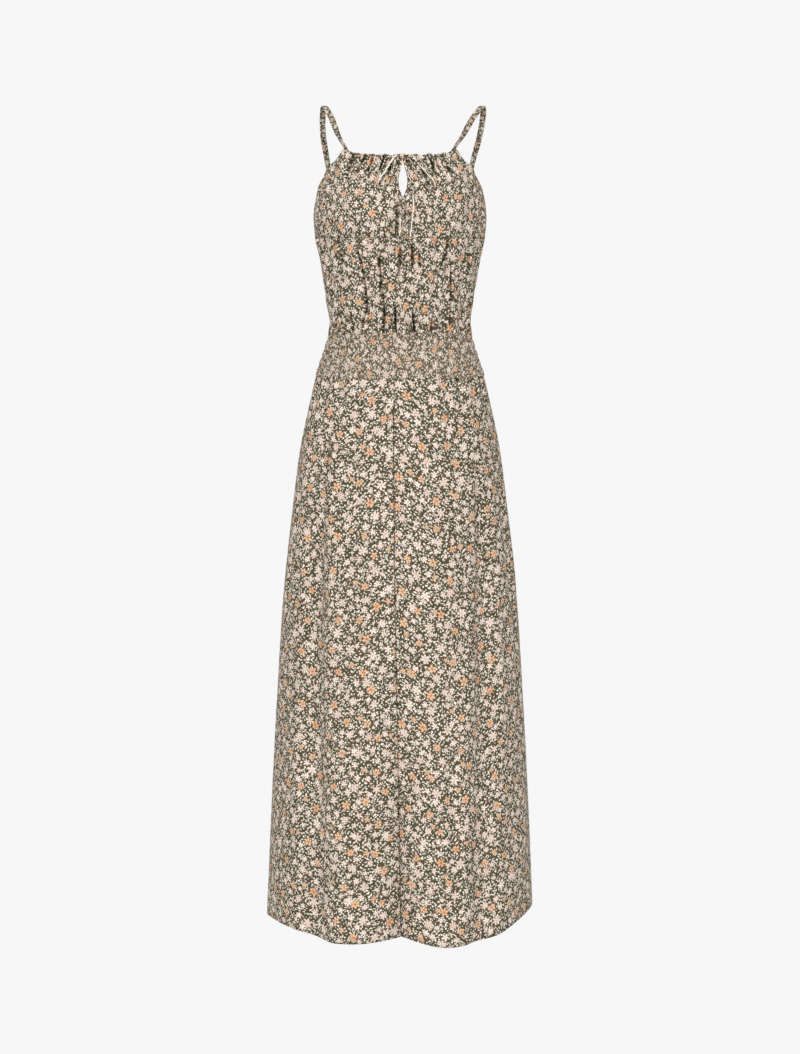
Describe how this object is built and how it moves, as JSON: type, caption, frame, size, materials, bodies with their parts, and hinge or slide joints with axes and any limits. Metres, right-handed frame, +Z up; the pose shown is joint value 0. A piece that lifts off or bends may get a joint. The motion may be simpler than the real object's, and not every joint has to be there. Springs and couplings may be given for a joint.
{
  "type": "sundress",
  "caption": "Sleeveless maxi sundress, filled out as if worn: drawstring neck with a bow and keyhole, shoulder straps, empire seam, gathered midriff, shirred waist and long flared skirt.",
  "frame": {"origin": "midway between the two shoulder straps at shoulder level, where the wearer's shoulders carry the dress", "axes": "+Z up along the body, -Y out of the front of the dress, +X to the wearer's left"},
  "size_m": [0.4607, 0.3718, 1.3888],
  "materials": {
    "printed_cloth": "matt light woven cloth with a small scattered flower print",
    "tie_cloth": "matt narrow tube of the same printed cloth"
  },
  "bodies": {
    "root": {"bodice_front_left": "printed_cloth", "bodice_front_right": "printed_cloth", "bodice_back": "printed_cloth", "midriff_front": "printed_cloth", "waistband_front": "printed_cloth", "waistband_back": "printed_cloth", "skirt_front_left": "printed_cloth", "skirt_front_right": "printed_cloth", "skirt_back": "printed_cloth", "strap_left": "printed_cloth", "strap_right": "printed_cloth", "tie_knot": "tie_cloth", "tie_loop_left": "tie_cloth", "tie_loop_right": "tie_cloth", "tie_tail_left": "tie_cloth", "tie_tail_right": "tie_cloth"}
  },
  "joints": []
}
